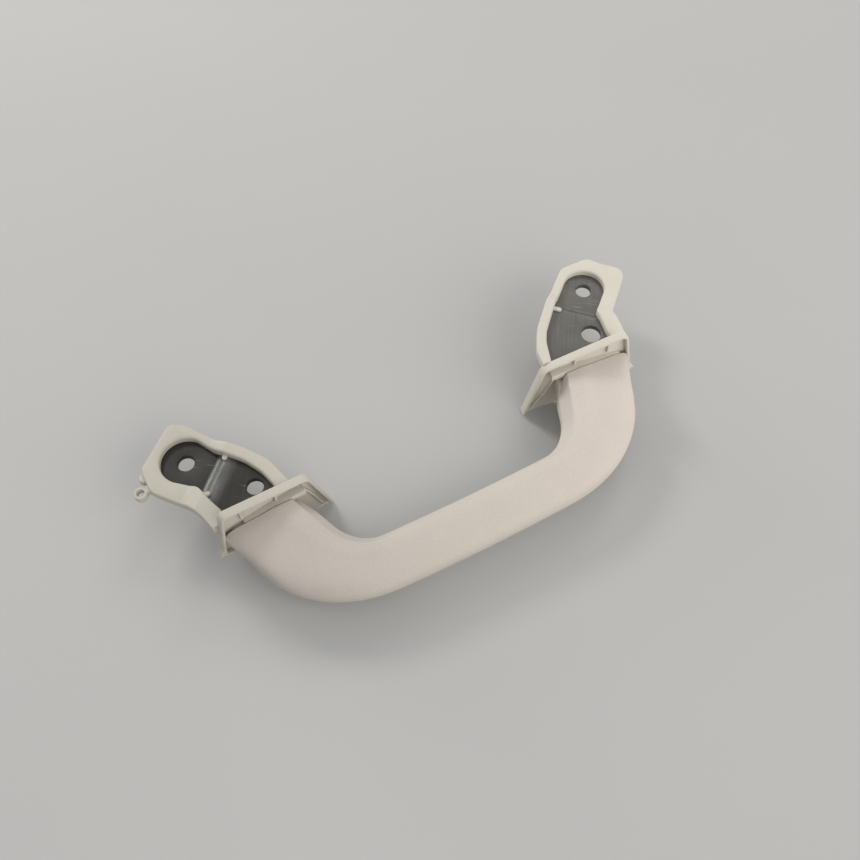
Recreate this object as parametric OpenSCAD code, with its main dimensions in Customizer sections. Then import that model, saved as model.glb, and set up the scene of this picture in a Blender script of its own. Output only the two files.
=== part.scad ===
// Fixed roof grab handle without its end caps: a stamped steel strap, a rear moulding with both
// fixing pads and collars, and a front cover over the grip.
// Origin midway between the two outer bolt holes on the mounting plane, X along the handle,
// -Y towards the grip, Z away from the mounting plane.

/* [Fixing] */
// Distance between the two outer bolt holes
pitch = 230; // [220:1:240]
// Outer bolt hole diameter
bolt_d = 8.4; // [7:0.2:9]
// Chamfer round the outer bolt holes
bolt_chamfer = 0.6; // [0.2:0.1:0.8]
// Inner screw hole diameter at the left end
screw_d_left = 8.4; // [6:0.2:9]
// Inner screw hole diameter at the right end
screw_d_right = 10.4; // [8:0.2:11]
// Inner screw hole at the left end, inwards and towards the grip from the bolt hole
screw_left = [25, 29.6]; // [20:0.2:35]
// Inner screw hole at the right end, inwards and towards the grip from the bolt hole
screw_right = [13.8, 28.6]; // [10:0.2:35]

/* [Steel strap] */
// Thickness of the steel
steel = 3; // [2.5:0.5:3.5]
// Width of the strap inside the grip
strap_w = 20; // [14:1:21]
// Height of the joggle between the bolt lobe and the inner plate
joggle = 4; // [3:0.5:5]
// Length of the joggle's slope
joggle_run = 5; // [4:0.5:8]
// Distance from the bolt hole to the joggle's lower crease
crease = 14.6; // [13.5:0.2:17]
// Width by which the steel runs on under the border
cover_lap = 2; // [1:0.5:2.5]

/* [Fixing pads] */
// Radius of the round end of the opening over the left bolt lobe
lobe_left = 12.3; // [11:0.1:13]
// Radius of the round end of the opening over the right bolt lobe
lobe_right = 11; // [10:0.1:12.5]
// Thickness of the pad border above the steel
border = 3.5; // [2.5:0.5:4]
// Depth by which the steel is let into the pad's underside
let_in = 1; // [0.5:0.5:2]
// Length of the slope where the border follows the joggle
border_run = 9; // [7:1:11]

/* [Collars] */
// Thickness of the collar wall and of its outer lip
collar_t = 1.6; // [1.4:0.2:2]
// Thickness of the inner lip on a collar's wing
inner_lip_t = 1.2; // [1:0.1:1.6]
// Width of the groove between the lips of a wing
groove_w = 5.5; // [4.5:0.5:6.5]
// Height of the lips in front of the collar wall
lip_h = 2.2; // [1.6:0.2:2.6]
// Distance of the front cover's ends from the ends of the grip's path
cover_gap = 2; // [1.8:0.2:3]
// Thickness of the small ribs across the groove
rib_t = 1.2; // [1:0.1:2]

/* [Grip] */
// Distance from the bolt line to the middle of the bar
reach = 89.7; // [86:0.5:96]
// Depth of the grip's mid plane at the collars below the lobes' front faces
grip_drop = 6; // [5:0.5:7]
// Fall of the grip's plane away from the collars, in degrees
grip_fall = 6; // [4:0.5:8]
// Lean of the legs towards each other, in degrees
leg_lean = 22; // [18:1:25]
// Middle radius of the grip's corners
corner_r = 44; // [40:1:46]
// Turn of the bar's bow on each side of its middle, in degrees
bar_bow = 1.9; // [1:0.1:3]
// Half width of the bar
bar_hw = 13.3; // [12.5:0.1:15]
// Half width of the legs at the collars
leg_hw = 19.4; // [18:0.2:20]
// Half thickness of the grip
grip_ht = 9.6; // [9:0.1:10.5]
// Wall thickness of the grip's two mouldings
wall = 2.6; // [2:0.2:3]
// Height of the seam between cover and rear moulding above the mid plane
seam = 2.5; // [2:0.5:4]

/* [Hidden] */
$fn = 64;
beige = [0.78, 0.75, 0.70];
grey = [0.42, 0.42, 0.41];

lobe_top = steel;
plate_top = steel + joggle;
hole_x = pitch / 2;
// The pads lie at 45 degrees to the handle
pad_turn = 225;

// Pad outlines from the bolt hole: outwards from the middle, then away from the grip
pad_left = [[-7.2, 18.5], [0.1, 23], [20.9, 4.8], [20.6, -8.8], [8.3, -23.5], [3.6, -33.1],
            [-0.5, -48], [-40.5, -48], [-40.8, -36.8], [-36.2, -20.6], [-28.7, -9.7], [-20.3, -0.2],
            [-14, 8.5]];
pad_right = [[-4.3, 16.9], [12.2, 16.3], [16.6, 9.9], [24.5, 1.8], [23.7, -3.3], [3.6, -22],
             [2.1, -30.9], [-1.3, -48], [-46, -48], [-48.2, -37.8], [-46.3, -26.5],
             [-39, -14.5], [-25.3, -0.8]];
// Openings over the inner plates, from the bolt hole
open_left = [[-9.5, 8], [7, -10], [-0.5, -16.7], [-3.1, -27], [-6.7, -36.5], [-5.2, -42],
             [-33.5, -42], [-33, -34], [-30.6, -25], [-25.6, -15.5], [-15.8, -4]];
open_right = [[-8, 7.4], [8.4, -6.8], [-4.5, -18.5], [-6, -27], [-7.5, -34.2], [-6, -42],
              [-44, -42], [-42.8, -35.8], [-38.5, -23.5], [-34.6, -17.5], [-20.6, -3.3]];

// Tabs that reach over the steel at the joggle: place from the bolt hole and turn
tab_right = [-21.3, -6.9, -45];
tabs_left = [[-18.5, -7.8, -45], [-2.6, -23, 180]];
tab_len = 3;
tab_nose = 1;
tab_w = 2.4;
tab_h = 2;
// Eye of the left pad's outer lug, from the bolt hole
eye_at = [25, -6.6];
eye_r = 1.9;
eye_wall = 1.4;

// Collar outline in its own plane from the middle of its top, outwards and up
collar_pts = [[-32.3, -39.2], [-22.9, -5.4], [22.9, 5.4], [28.6, -25.4], [12, -31], [-16, -40.6]];
collar_in = 26;
collar_at = [hole_x - collar_in, -37.8, 14.5];
collar_turn = 9;
collar_tilt = 4.5;

function unit(v) = v / norm(v);
function right_of(v) = [v[1], -v[0]];
function at(p, i) = p[(i + len(p)) % len(p)];

// Moves each side of a closed outline inwards by d; the points run clockwise
function inset(p, d) = [for (i = [0 : len(p) - 1])
    let (na = right_of(unit(p[i] - at(p, i - 1))))
    let (nb = right_of(unit(at(p, i + 1) - p[i])))
    p[i] + d * (na + nb) / (1 + na * nb)];

// Rounds one corner at b between a and c with a curve that starts a length r from it
function corner(a, b, c, r, n = 4) =
    let (p = b + min(r, 0.45 * norm(a - b)) * unit(a - b))
    let (q = b + min(r, 0.45 * norm(c - b)) * unit(c - b))
    [for (k = [0 : n]) let (f = k / n) (1 - f) * (1 - f) * p + 2 * f * (1 - f) * b + f * f * q];
function rounded(p, r) = [for (i = [0 : len(p) - 1]) each corner(at(p, i - 1), p[i], at(p, i + 1), r)];
// Rounds the inner corners of an open run of points
function bent(p, r) = concat([p[0]],
    [for (i = [1 : len(p) - 2]) each corner(p[i - 1], p[i], p[i + 1], r)], [p[len(p) - 1]]);
function reversed(p) = [for (i = [len(p) - 1 : -1 : 0]) p[i]];

// The grip's path in its own plane: half a bowed bar, a corner and a leg up to the right collar
collar_y = 42;
leg_in = 22;
leg_x = hole_x - leg_in;
run_v = (reach - collar_y) / cos(grip_fall);
turn_end = 90 - leg_lean;
corner_x = corner_r * (sin(turn_end) - sin(bar_bow));
corner_v = corner_r * (cos(bar_bow) - cos(turn_end));
bow_s = sin(bar_bow) / (bar_bow * PI / 180);
bow_c = (1 - cos(bar_bow)) / (bar_bow * PI / 180);
det = bow_s * cos(leg_lean) - bow_c * sin(leg_lean);
bar_half = ((leg_x - corner_x) * cos(leg_lean) - (run_v - corner_v) * sin(leg_lean)) / det;
leg_len = (bow_s * (run_v - corner_v) - bow_c * (leg_x - corner_x)) / det;
bow_r = bar_half / (bar_bow * PI / 180);
corner_len = corner_r * (turn_end - bar_bow) * PI / 180;
half_len = bar_half + corner_len + leg_len;

// Heading and place at a distance s from the middle of the bar
function heading(s) = s < bar_half ? bar_bow * s / bar_half
    : min(turn_end, bar_bow + (s - bar_half) / corner_r * 180 / PI);
bar_end = [bow_r * sin(bar_bow), bow_r * (1 - cos(bar_bow)) - run_v];
corner_end = bar_end + [corner_x, corner_v];
function place(s) =
    s < bar_half ? [bow_r * sin(heading(s)), bow_r * (1 - cos(heading(s))) - run_v]
    : s < bar_half + corner_len
    ? bar_end + corner_r * [sin(heading(s)) - sin(bar_bow), cos(bar_bow) - cos(heading(s))]
    : corner_end + (s - bar_half - corner_len) * [cos(turn_end), sin(turn_end)];
function ease(f) = let (g = max(0, min(1, f))) g * g * (3 - 2 * g);
// Outwards across the grip; near a collar the sections turn to lie along it
collar_ease = 24;
end_turn = 1;
function lateral(s) = let (e = ease((s - half_len + collar_ease) / collar_ease))
    (1 - e) * (heading(s) - 90) - e * end_turn;
function side(s) = s < 0 ? -1 : 1;
function station(s, a, b) = let (q = place(abs(s)) + a * [cos(lateral(abs(s))), sin(lateral(abs(s)))])
    [side(s) * q[0], q[1], b];
function half_width(s) = bar_hw + (leg_hw - bar_hw) * ease((abs(s) - bar_half) / corner_len);

// Distances along the path at which a section is set, with the last ones given
function stops(ends) = let (half = concat(
    [for (k = [1 : 3]) bar_half * k / 3],
    [for (k = [1 : 11]) let (d = bar_half + corner_len * k / 11) if (d < half_len + ends[0] - 1) d],
    [for (e = ends) half_len + e]))
    concat(reversed(-half), [0], half);

function pw(x, n) = sign(x) * pow(abs(x), 2 / n);
// Fullness of the grip's section: an oval along the bar, nearly a box at the collars
function full(s) = 2.6 + 3.2 * ease((abs(s) - half_len + 40) / 34);
// A point of the rounded section at the angle t
function oval(w, h, t, n) = [w * pw(cos(t), n), h * pw(sin(t), n)];
function seam_angle(h, n) = asin(pow(seam / h, n / 2));
function arch(w, h, n, count) = let (t0 = seam_angle(h, n))
    [for (k = [0 : count]) oval(w, h, t0 + (180 - 2 * t0) * k / count, n)];
function cover_section(s) = let (w = half_width(s)) let (n = full(s))
    concat(arch(w, grip_ht, n, 14), reversed(arch(w - wall, grip_ht - wall, n, 8)));
strap_floor = -steel / 2;
reveal = 0.4;
neck_len = 8;
neck_gap = 0.2;
// A channel under the strap, closed near the collars by a neck that the front cover sits on
function rear_section(s) = let (w = half_width(s)) let (n = full(s))
    let (top = oval(w, grip_ht, seam_angle(grip_ht, n), n)[0])
    let (neck = abs(s) > half_len - neck_len)
    concat([for (q = arch(w - wall - neck_gap, grip_ht - wall - neck_gap, n, 8))
               [q[0], neck ? q[1] : strap_floor]],
           [[wall - top, seam], [reveal - top, seam], [-top, seam - reveal]],
           [for (k = [14 : -1 : 0]) oval(w, grip_ht, -180 * k / 14, n)],
           [[top, seam - reveal], [top - reveal, seam], [top - wall, seam]]);

// The distance along the grip's plane at which a line at x and h meets the middle of the collar wall
wall_n = [-cos(collar_tilt) * sin(collar_turn), -cos(collar_tilt) * cos(collar_turn), sin(collar_tilt)];
function meet(x, h) =
    let (start = [x, -h * sin(grip_fall) - collar_y, h * cos(grip_fall) + lobe_top - grip_drop])
    (collar_t / 2 - wall_n * (start - collar_at)) / (wall_n * [0, cos(grip_fall), sin(grip_fall)]);
// The rear section's last ring, in the collar wall; dir is 1 at the right end and -1 at the left
function wall_ring(dir) = [for (q = rear_section(half_len))
    let (x = leg_x + 0.6 + q[0]) [dir * x, meet(x, q[1]), q[1]]];

// Skin over a row of sections with the same number of points
module loft(rings) {
    n = len(rings[0]);
    m = len(rings);
    faces = concat(
        [[for (j = [n - 1 : -1 : 0]) j]],
        [[for (j = [0 : n - 1]) (m - 1) * n + j]],
        [for (i = [0 : m - 2]) for (j = [0 : n - 1])
            [i * n + j, i * n + (j + 1) % n, (i + 1) * n + (j + 1) % n, (i + 1) * n + j]]);
    polyhedron([for (r = rings) each r], faces, convexity = 6);
}

module grip_frame() {
    translate([0, -collar_y, lobe_top - grip_drop])
        rotate([grip_fall, 0, 0])
            children();
}

// Places a pad's own plan, with the bolt hole at the origin and outwards along X
module pad_frame() {
    translate([hole_x, 0, 0])
        children();
}

// A side profile, inwards along the pad and up, carried across the pad
module across_pad(profile) {
    rotate([0, 0, pad_turn])
        rotate([90, 0, 0])
            linear_extrude(height = 150, center = true)
                polygon(profile);
}

module collar_frame() {
    translate(collar_at)
        rotate([0, 0, -collar_turn])
            rotate([90 - collar_tilt, 0, 0])
                children();
}

// Everything in front of a plane at the height h over the collar wall's back
module before_collar(h) {
    collar_frame()
        translate([-80, -80, h])
            cube([160, 160, 200]);
}

module steel_end(open, lobe_r, screw, screw_d) {
    difference() {
        pad_frame()
            intersection() {
                linear_extrude(height = 20)
                    union() {
                        circle(r = lobe_r + cover_lap);
                        polygon(inset(open, -cover_lap));
                    }
                across_pad([[-40, 0], [-40, steel], [crease, steel],
                            [crease + joggle_run, plate_top], [90, plate_top],
                            [90, joggle], [crease + joggle_run + 1, joggle], [crease + 1, 0]]);
            }
        translate([hole_x, 0, -1])
            cylinder(d = bolt_d, h = 20);
        translate([hole_x, 0, steel - bolt_chamfer])
            cylinder(d1 = bolt_d, d2 = bolt_d + 2 * bolt_chamfer, h = bolt_chamfer);
        translate([hole_x - screw[0], -screw[1], -1])
            cylinder(d = screw_d, h = 20);
        before_collar(0);
    }
}

// The strap's slope from the inner plate down into the grip, inwards of the leg's own line
strap_in = 4;
drop_top = 7.5;
drop_run = 3;
module strap_drop() {
    y0 = drop_top - collar_y;
    y1 = -drop_run - collar_y;
    run = 7;
    fall = run * tan(grip_fall);
    z1 = lobe_top - grip_drop - (-y1 - collar_y) * tan(grip_fall) + strap_floor;
    sunk = 0.4;
    translate([leg_x - strap_in, 0, 0])
        rotate([90, 0, 90])
            linear_extrude(height = strap_w, center = true)
                polygon([[y0 + 0.4, joggle + sunk], [y0 + 0.4, plate_top - sunk],
                         [y0, plate_top - sunk], [y1, z1 + steel],
                         [y1 - run, z1 + steel - fall], [y1 - run, z1 - fall],
                         [y1, z1], [y0, joggle + sunk]]);
}

module strap_loop() {
    s = stops([-14, -9]);
    grip_frame()
        translate([0, 0, strap_floor])
            linear_extrude(height = steel)
                polygon(concat(
                    [for (d = s) let (q = station(d, strap_w / 2, 0)) [q[0], q[1]]],
                    [for (d = reversed(s)) let (q = station(d, -strap_w / 2, 0)) [q[0], q[1]]]));
}

module steel_strap() {
    color(grey)
        union() {
            steel_end(open_right, lobe_right, screw_right, screw_d_right);
            strap_drop();
            mirror([1, 0, 0]) {
                steel_end(open_left, lobe_left, screw_left, screw_d_left);
                strap_drop();
            }
            strap_loop();
        }
}

// Pad border that follows the joggle, with its opening over the steel
module pad(outline, open, lobe_r) {
    low = lobe_top - let_in;
    start = crease - 2 - border_run / 2;
    stop = start + border_run;
    difference() {
        pad_frame()
            intersection() {
                linear_extrude(height = 30)
                    polygon(rounded(outline, 3));
                across_pad([[-60, low], [-60, lobe_top + border], [start, lobe_top + border],
                            [stop, plate_top + border], [90, plate_top + border],
                            [90, low + joggle], [stop + 1, low + joggle], [start + 1, low]]);
            }
        pad_frame()
            translate([0, 0, -1])
                linear_extrude(height = 40) {
                    circle(r = lobe_r);
                    polygon(open);
                }
        steel_end(open, lobe_r, [0, 0], 1);
        before_collar(collar_t / 2);
    }
}

// A lip along the collar's outline from one corner to another, between two insets
module lip(first, last, d0, d1) {
    a = [for (i = [first : last]) inset(collar_pts, d0)[i]];
    b = [for (i = [first : last]) inset(collar_pts, d1)[i]];
    linear_extrude(height = collar_t + lip_h)
        polygon(concat(bent(a, 4), reversed(bent(b, 3))));
}

module collar() {
    inner = collar_t + groove_w;
    rib_h = collar_t + 1.6;
    collar_frame() {
        linear_extrude(height = collar_t)
            polygon(concat(bent([for (i = [0 : 3]) collar_pts[i]], 4), [collar_pts[4], collar_pts[5]]));
        lip(0, 3, 0, collar_t);
        lip(0, 1, inner, inner + inner_lip_t);
        for (x = [-5.4, 12.9])
            translate([x, x * 0.236 - 9.5, 0])
                cube([rib_t, 6, rib_h]);
    }
}

// Small lugs of the left pad's outer corner, one of them with an eye
module corner_lugs() {
    z0 = lobe_top - let_in;
    pad_frame()
        difference() {
            union() {
                translate([eye_at[0], eye_at[1], z0])
                    cylinder(r = eye_r + eye_wall, h = border);
                translate([18, -8.4, z0])
                    rotate([0, 0, 12])
                        cube([4.6, 3, border]);
                translate([21, 0.5, z0])
                    cylinder(r = 2.4, h = border);
            }
            translate([eye_at[0], eye_at[1], 0])
                cylinder(r = eye_r, h = 20);
        }
}

// A small tab that reaches from the border over the steel
module crease_tab(t) {
    pad_frame()
        translate([t[0], t[1], plate_top])
            rotate([0, 0, t[2]]) {
                translate([-tab_len, -tab_w / 2, 0])
                    cube([tab_len + tab_nose, tab_w, tab_h]);
                translate([tab_nose, 0, 0])
                    cylinder(d = tab_w, h = tab_h);
            }
}

module rear_moulding() {
    color(beige)
        difference() {
            union() {
                pad(pad_right, open_right, lobe_right);
                collar();
                crease_tab(tab_right);
                mirror([1, 0, 0]) {
                    pad(pad_left, open_left, lobe_left);
                    corner_lugs();
                    for (t = tabs_left)
                        crease_tab(t);
                    collar();
                }
                grip_frame()
                    loft(concat([wall_ring(-1)],
                        [for (s = stops([-16, -neck_len, 0.6 - neck_len, -3]))
                            [for (q = rear_section(s)) station(s, q[0], q[1])]],
                        [wall_ring(1)]));
            }
            strap_drop();
            mirror([1, 0, 0])
                strap_drop();
            strap_loop();
        }
}

module front_cover() {
    color(beige)
        grip_frame()
            loft([for (s = stops([-18, -12, -6, -cover_gap]))
                [for (q = cover_section(s)) station(s, q[0], q[1])]]);
}

steel_strap();
rear_moulding();
front_cover();
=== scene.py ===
"""Roof grab handle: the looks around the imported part, laid out as an add-on and run as a script."""

import math

import bmesh
import bpy
from bpy.props import FloatProperty, FloatVectorProperty, PointerProperty
from mathutils import Matrix, Vector


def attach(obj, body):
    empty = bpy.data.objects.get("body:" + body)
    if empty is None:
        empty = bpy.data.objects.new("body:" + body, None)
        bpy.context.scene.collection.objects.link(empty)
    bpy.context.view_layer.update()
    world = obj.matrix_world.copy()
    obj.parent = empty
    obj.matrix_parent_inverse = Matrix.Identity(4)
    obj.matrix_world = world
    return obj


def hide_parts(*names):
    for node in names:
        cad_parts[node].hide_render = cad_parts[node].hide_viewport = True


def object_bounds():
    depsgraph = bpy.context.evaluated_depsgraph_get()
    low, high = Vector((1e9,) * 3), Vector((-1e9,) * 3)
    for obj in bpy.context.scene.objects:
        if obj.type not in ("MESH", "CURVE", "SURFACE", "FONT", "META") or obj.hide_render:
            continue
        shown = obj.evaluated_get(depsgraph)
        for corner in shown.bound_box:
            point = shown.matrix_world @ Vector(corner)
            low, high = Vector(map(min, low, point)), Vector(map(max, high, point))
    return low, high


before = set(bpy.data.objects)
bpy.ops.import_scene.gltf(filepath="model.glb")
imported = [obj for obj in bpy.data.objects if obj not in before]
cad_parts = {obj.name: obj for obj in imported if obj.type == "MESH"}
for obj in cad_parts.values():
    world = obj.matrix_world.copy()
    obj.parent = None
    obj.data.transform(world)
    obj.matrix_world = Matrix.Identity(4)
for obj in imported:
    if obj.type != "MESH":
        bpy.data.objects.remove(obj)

bl_info = {
    "name": "Roof grab handle",
    "version": (1, 0, 0),
    "blender": (4, 5, 0),
    "location": "View3D > Sidebar > Handle",
    "description": "Builds the plastic mouldings, the steel strap and the stage of a roof grab handle",
    "category": "Object",
}

CAD_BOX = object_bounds()
MM = 0.001
rad = math.radians

# Sizes of the part's own source, in millimetres and degrees
PITCH = 230.0
BOLT_D = 8.4
SCREW = {"left": (25.0, 29.6, 8.4), "right": (13.8, 28.6, 10.4)}
STEEL = 3.0
STRAP_W = 20.0
JOGGLE = 4.0
JOGGLE_RUN = 5.0
CREASE = 14.6
COVER_LAP = 2.0
LOBE_R = {"left": 12.3, "right": 11.0}
BORDER = 3.5
LET_IN = 1.0
BORDER_RUN = 9.0
BORDER_CREASE = CREASE - 2.0
COLLAR_T = 1.6
INNER_LIP_T = 1.2
LIP_H = 2.2
COVER_GAP = 2.0
RIB_T = 1.2
REACH = 89.7
GRIP_DROP = 6.0
GRIP_FALL = 6.0
LEG_LEAN = 22.0
CORNER_R = 44.0
BAR_BOW = 1.9
BAR_HW = 13.3
LEG_HW = 19.4
GRIP_HT = 9.6
WALL = 2.6
SEAM = 2.5
PADS = {
    "left": [(-7.2, 18.5), (0.1, 23), (20.9, 4.8), (20.6, -8.8), (8.3, -23.5), (3.6, -33.1), (-0.5, -48),
             (-40.5, -48), (-40.8, -36.8), (-36.2, -20.6), (-28.7, -9.7), (-20.3, -0.2), (-14, 8.5)],
    "right": [(-4.3, 16.9), (12.2, 16.3), (16.6, 9.9), (24.5, 1.8), (23.7, -3.3), (3.6, -22), (2.1, -30.9),
              (-1.3, -48), (-46, -48), (-48.2, -37.8), (-46.3, -26.5), (-39, -14.5), (-25.3, -0.8)],
}
OPENINGS = {
    "left": [(-9.5, 8), (7, -10), (-0.5, -16.7), (-3.1, -27), (-6.7, -36.5), (-5.2, -42), (-33.5, -42),
             (-33, -34), (-30.6, -25), (-25.6, -15.5), (-15.8, -4)],
    "right": [(-8, 7.4), (8.4, -6.8), (-4.5, -18.5), (-6, -27), (-7.5, -34.2), (-6, -42), (-44, -42),
              (-42.8, -35.8), (-38.5, -23.5), (-34.6, -17.5), (-20.6, -3.3)],
}
COLLAR = [(-32.3, -39.2), (-22.9, -5.4), (22.9, 5.4), (28.6, -25.4), (12, -31), (-16, -40.6)]
COLLAR_AT = (89.0, -37.8, 14.5)
COLLAR_TURN = 9.0
COLLAR_TILT = 4.5
RIBS = (-5.4, 12.9)
TABS = {"left": [(96.5, -7.8, -45), (112.4, -23, 180)], "right": [(93.7, -6.9, -45)]}

# Sizes of the finer forms, which the looks add
PAD_ROUND = 3.0
OPENING_ROUND = 1.3
WALL_INSET = 0.3
WALL_RAISE = 0.12
LIP_OVER = 0.9
LIP_END = 0.32
SPUR = [(27.2, -20.5), (30.4, -24.6), (29.2, -26.0), (26.4, -26.4)]
BOX_TOP = -9.0
BOX_LOW = -12.0
BOX_SINK = 0.4
BOX_SHORT = 0.3
BOX_LEFT = -19.0
BOX_RIGHT = {"left": RIBS[1] + RIB_T / 2, "right": 20.5}
# The wing's inner lip in the collar's plane: tip, middle and top
INNER_LIP = {
    "left": [(-28.2, -38.2), (-22.6, -19.0), (-17.4, -8.4)],
    "right": [(-29.6, -38.6), (-20.6, -26.5), (-13.4, -10.5)],
}
INNER_LIP_H = 1.5
INNER_LIP_BEND = 60.0
RIB_LEN = 6.0
RIB_H = COLLAR_T + 1.6
RIB_Y = -6.5
RIB_SLOPE = 0.236
RIB_EDGE = 0.18
TAB_TAIL = 3.0
TAB_NOSE = 1.0
TAB_HW = 1.2
TAB_TOP = 1.1
EYE_AT = (140.0, -6.6)
EYE_R = 1.9
EYE_OUTER_R = 3.3
PEG_AT = (136.0, 0.5)
PEG_R = 2.4
BRIDGE_AT = (133.0, -8.4)
BRIDGE_TURN = 12.0
BRIDGE_LEN = 4.6
BRIDGE_W = 3.0
DROP_FROM = -34.5
DROP_TO = -45.0
DROP_RUN = 7.0
DROP_SINK = 0.4
DROP_SIDE = 4.0
COVER_FRONT = 3.3
COVER_SLANT = 0.088
# Steps round the cover's end edge: how far back from its face, and how much smaller
COVER_EDGE = ((0.7, 0.0), (0.3, 0.08), (0.08, 0.28), (0.0, 0.6))
RIDGE_LEN = 88.0
RIDGE_FADE = 26.0
RIDGE_DROP = 0.35
RIDGE_ROUND = 0.75
RIDGE_CROWN = 0.45

FLOOR_SIZE = 8.0
LOOK_AT = (0.0, -0.04, 0.0)
# Each lamp's name, place, width, share of the key power and colour
LAMPS = [
    ("Key", (-0.30, 1.45, 1.10), 0.5, 0.85, (1.0, 0.985, 0.96)),
    ("Second", (1.15, 1.0, 1.35), 0.8, 0.45, (1.0, 0.985, 0.96)),
    ("Low back", (-0.55, 1.45, 0.30), 0.7, 0.5, (1.0, 0.99, 0.97)),
    ("Front", (0.75, -1.75, 0.95), 2.6, 2.6, (1.0, 0.98, 0.955)),
]
# The photo's camera, its place in millimetres
CAMERA_AT = (-109.493, -247.323, 411.975)
CAMERA_RIGHT = (0.88547, -0.46469, 0.0)
CAMERA_UP = (0.40277, 0.76748, 0.49875)
CAMERA_BACK = (-0.23176, -0.44163, 0.86675)
CAMERA_LENS = 39.45
CAMERA_SENSOR = 36.0


class HandleSettings(bpy.types.PropertyGroup):
    """Sizes and colours of the handle's looks"""

    edge_round: FloatProperty(name="Edge rounding", description="Radius of the moulded edges",
                              default=0.75 * MM, min=0.1 * MM, max=0.8 * MM, unit="LENGTH")
    ridge: FloatProperty(name="Side ridge", description="Width of the flat side face beside the collars",
                         default=4.9 * MM, min=0.0, max=8 * MM, unit="LENGTH")
    plastic: FloatVectorProperty(name="Moulding colour", description="Beige of the rear moulding",
                                 subtype="COLOR", default=(0.560, 0.520, 0.445), min=0, max=1)
    cover: FloatVectorProperty(name="Cover colour", description="Beige of the front cover",
                               subtype="COLOR", default=(0.560, 0.500, 0.445), min=0, max=1)
    steel: FloatVectorProperty(name="Steel colour", description="Dull grey brown of the pressed steel",
                               subtype="COLOR", default=(0.150, 0.142, 0.128), min=0, max=1)
    grain: FloatProperty(name="Grain depth", description="Depth of the plastic's fine grain",
                         default=0.05 * MM, min=0, max=0.2 * MM, unit="LENGTH")


class StageSettings(bpy.types.PropertyGroup):
    """Floor and lamps"""

    floor: FloatVectorProperty(name="Floor colour", description="Plain pale grey of the floor",
                               subtype="COLOR", default=(0.445, 0.44, 0.43), min=0, max=1)
    key: FloatProperty(name="Key lamp", description="Power that the four lamps share out",
                       default=13.6, min=0, unit="POWER")
    fill: FloatProperty(name="Fill light", description="Strength of the even light all round",
                        default=0.58, min=0)


# Plane geometry


def unit(v):
    return Vector(v).normalized()


def inset(points, d):
    """Moves each side of a closed clockwise outline inwards by d."""
    out = []
    for i, p in enumerate(points):
        a = unit(Vector(p) - Vector(points[i - 1]))
        b = unit(Vector(points[(i + 1) % len(points)]) - Vector(p))
        na, nb = Vector((a.y, -a.x)), Vector((b.y, -b.x))
        out.append(Vector(p) + d * (na + nb) / (1 + na.dot(nb)))
    return out


def corner(a, b, c, r, n):
    """A curve round the corner b that starts r before it and ends r after it."""
    a, b, c = Vector(a), Vector(b), Vector(c)
    p = b + min(r, 0.45 * (a - b).length) * (a - b).normalized()
    q = b + min(r, 0.45 * (c - b).length) * (c - b).normalized()
    return [(1 - f) ** 2 * p + 2 * f * (1 - f) * b + f * f * q for f in (k / n for k in range(n + 1))]


def rounded(points, r, n=8):
    """Rounds every corner of a closed outline."""
    out = []
    for i in range(len(points)):
        out += corner(points[i - 1], points[i], points[(i + 1) % len(points)], r, n)
    return out


def bent(points, r, n=8):
    """Rounds the inner corners of an open run of points."""
    out = [Vector(points[0])]
    for i in range(1, len(points) - 1):
        out += corner(points[i - 1], points[i], points[i + 1], r, n)
    return out + [Vector(points[-1])]


def spaced(points, step):
    """Adds points so that no side of a closed outline is longer than step."""
    out = []
    for i, p in enumerate(points):
        q = points[(i + 1) % len(points)]
        n = max(1, math.ceil((Vector(q) - Vector(p)).length / step))
        out += [Vector(p).lerp(Vector(q), k / n) for k in range(n)]
    return out


def circle(centre, r, n=40):
    """A clockwise circle."""
    turns = [-2 * math.pi * k / n for k in range(n)]
    return [Vector((centre[0] + r * math.cos(t), centre[1] + r * math.sin(t))) for t in turns]


def opening(end, grow=0.0):
    """The opening over the steel: a round end over the lobe and the outline over the plate."""
    r = LOBE_R[end]
    points = OPENINGS[end]
    a0 = math.atan2(points[0][1], points[0][0])
    a1 = math.atan2(points[1][1], points[1][0])
    turns = [a0 + (a1 - a0) * k / 40 for k in range(41)]
    arc = [Vector((r * math.cos(t), r * math.sin(t))) for t in turns]
    rest = bent([arc[-1]] + [Vector(p) for p in points[2:]] + [arc[0]], 2.5, 5)
    outline = arc + rest[1:-1]
    return shifted(outline, -grow) if grow else outline


def shifted(outline, d):
    """Insets a fine outline by d along averaged normals."""
    out = []
    for i, p in enumerate(outline):
        t = (outline[(i + 1) % len(outline)] - outline[i - 1]).normalized()
        out.append(p + d * Vector((t.y, -t.x)))
    return out


# Mesh building


def mesh_object(name, bm):
    """A new object in the scene from a bmesh, which is freed."""
    mesh = bpy.data.meshes.new(name)
    bm.to_mesh(mesh)
    bm.free()
    obj = bpy.data.objects.new(name, mesh)
    bpy.context.scene.collection.objects.link(obj)
    return obj


def finish_mesh(bm, angle):
    """Merges doubles, turns the faces outwards and smooths all but the sharp edges."""
    bmesh.ops.remove_doubles(bm, verts=bm.verts, dist=1e-6)
    bmesh.ops.recalc_face_normals(bm, faces=bm.faces)
    for f in bm.faces:
        f.smooth = True
    for e in bm.edges:
        e.smooth = len(e.link_faces) != 2 or e.calc_face_angle(0) < rad(angle)


def loft(bm, rings):
    """Closed skin over rings of equal length."""
    verts = [[bm.verts.new(p) for p in ring] for ring in rings]
    n = len(rings[0])
    for a, b in zip(verts, verts[1:]):
        for j in range(n):
            bm.faces.new((a[j], a[(j + 1) % n], b[(j + 1) % n], b[j]))
    bm.faces.new(verts[0])
    bm.faces.new(list(reversed(verts[-1])))


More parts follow.
